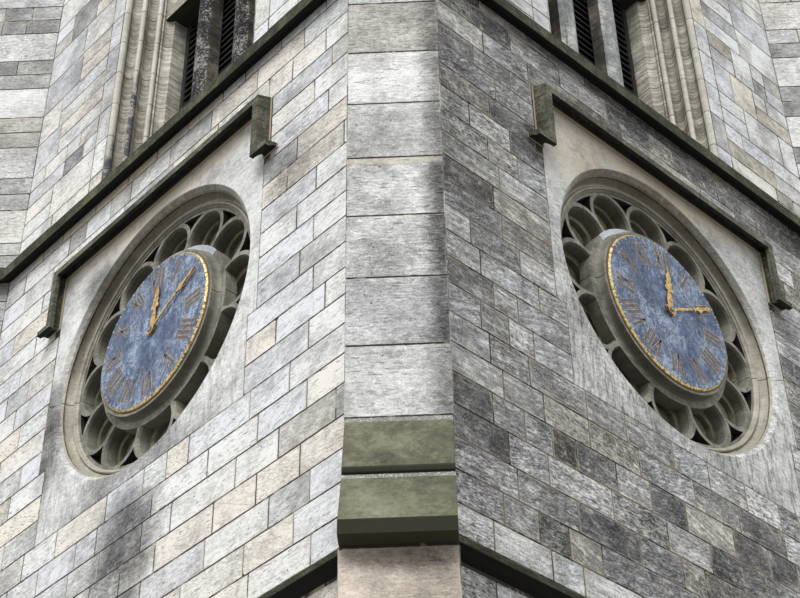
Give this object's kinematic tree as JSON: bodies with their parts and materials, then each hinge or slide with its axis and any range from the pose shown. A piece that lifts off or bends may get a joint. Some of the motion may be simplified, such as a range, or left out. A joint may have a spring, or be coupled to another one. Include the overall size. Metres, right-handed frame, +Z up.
{
  "type": "clock tower",
  "caption": "Square stone clock tower with diagonal corner buttresses, a blue dial in a petalled stone wheel on each side, a louvred belfry stage, battlements and pinnacles.",
  "frame": {"origin": "centre of the tower at ground level", "axes": "+Z up; -Y towards the south dial, -X towards the west dial; the pictured corner is the southwest one"},
  "size_m": [10.7442, 10.7442, 28.525],
  "materials": {
    "ashlar": "weathered sandstone ashlar",
    "plinth_stone": "weathered sandstone",
    "mossy_stone": "sooty, mossy stone",
    "tracery_stone": "carved pale stone",
    "sooty_stone": "blackened stone",
    "dial_blue": "weathered slate-blue paint",
    "gilt": "worn gilding",
    "louvre_timber": "blackened boards",
    "oak": "weathered oak",
    "lead": "dull sheet lead"
  },
  "bodies": {
    "tower": {"plinth": "plinth_stone", "ground_floor": "plinth_stone", "ground_walls": "ashlar", "door": "oak", "doorway_step": "plinth_stone", "clock_wall_south": "ashlar", "clock_wall_east": "ashlar", "clock_wall_north": "ashlar", "clock_wall_west": "ashlar", "belfry_wall_south": "ashlar", "belfry_wall_east": "ashlar", "belfry_wall_north": "ashlar", "belfry_wall_west": "ashlar", "buttress_southwest": "ashlar", "buttress_southeast": "ashlar", "buttress_northeast": "ashlar", "buttress_northwest": "ashlar", "lower_string": "mossy_stone", "upper_string": "mossy_stone", "parapet_string": "mossy_stone", "parapet": "ashlar", "merlons": "ashlar", "roof": "lead", "pinnacles": "ashlar", "hood_moulds": "mossy_stone", "belfry_hoods": "mossy_stone", "belfry_floor": "oak", "roundel_south": "tracery_stone", "roundel_east": "tracery_stone", "roundel_north": "tracery_stone", "roundel_west": "tracery_stone", "dial_south": "dial_blue", "dial_east": "dial_blue", "dial_north": "dial_blue", "dial_west": "dial_blue", "belfry_tracery_south": "sooty_stone", "belfry_tracery_east": "sooty_stone", "belfry_tracery_north": "sooty_stone", "belfry_tracery_west": "sooty_stone", "louvres_south": "louvre_timber", "louvres_east": "louvre_timber", "louvres_north": "louvre_timber", "louvres_west": "louvre_timber"},
    "minute_hand_south": {"minute_hand_south": "gilt"},
    "hour_hand_south": {"hour_hand_south": "gilt"},
    "minute_hand_east": {"minute_hand_east": "gilt"},
    "hour_hand_east": {"hour_hand_east": "gilt"},
    "minute_hand_north": {"minute_hand_north": "gilt"},
    "hour_hand_north": {"hour_hand_north": "gilt"},
    "minute_hand_west": {"minute_hand_west": "gilt"},
    "hour_hand_west": {"hour_hand_west": "gilt"}
  },
  "joints": [
    {"name": "minute_hand_south_turn", "type": "hinge", "parent": "tower", "child": "minute_hand_south", "pos_m": [0, -3.7, 12.575], "axis": [0, 1, 0], "continuous": true},
    {"name": "hour_hand_south_turn", "type": "hinge", "parent": "tower", "child": "hour_hand_south", "pos_m": [0, -3.7, 12.575], "axis": [0, 1, 0], "continuous": true},
    {"name": "minute_hand_east_turn", "type": "hinge", "parent": "tower", "child": "minute_hand_east", "pos_m": [3.7, 0, 12.575], "axis": [-1, 0, 0], "continuous": true},
    {"name": "hour_hand_east_turn", "type": "hinge", "parent": "tower", "child": "hour_hand_east", "pos_m": [3.7, 0, 12.575], "axis": [-1, 0, 0], "continuous": true},
    {"name": "minute_hand_north_turn", "type": "hinge", "parent": "tower", "child": "minute_hand_north", "pos_m": [0, 3.7, 12.575], "axis": [0, -1, 0], "continuous": true},
    {"name": "hour_hand_north_turn", "type": "hinge", "parent": "tower", "child": "hour_hand_north", "pos_m": [0, 3.7, 12.575], "axis": [0, -1, 0], "continuous": true},
    {"name": "minute_hand_west_turn", "type": "hinge", "parent": "tower", "child": "minute_hand_west", "pos_m": [-3.7, 0, 12.575], "axis": [1, 0, 0], "continuous": true},
    {"name": "hour_hand_west_turn", "type": "hinge", "parent": "tower", "child": "hour_hand_west", "pos_m": [-3.7, 0, 12.575], "axis": [1, 0, 0], "continuous": true}
  ],
  "couplings": [
    {"joint": "hour_hand_south_turn", "follows": "minute_hand_south_turn", "ratio": 0.083333},
    {"joint": "minute_hand_east_turn", "follows": "minute_hand_south_turn", "ratio": 1},
    {"joint": "hour_hand_east_turn", "follows": "minute_hand_south_turn", "ratio": 0.083333},
    {"joint": "minute_hand_north_turn", "follows": "minute_hand_south_turn", "ratio": 1},
    {"joint": "hour_hand_north_turn", "follows": "minute_hand_south_turn", "ratio": 0.083333},
    {"joint": "minute_hand_west_turn", "follows": "minute_hand_south_turn", "ratio": 1},
    {"joint": "hour_hand_west_turn", "follows": "minute_hand_south_turn", "ratio": 0.083333}
  ]
}
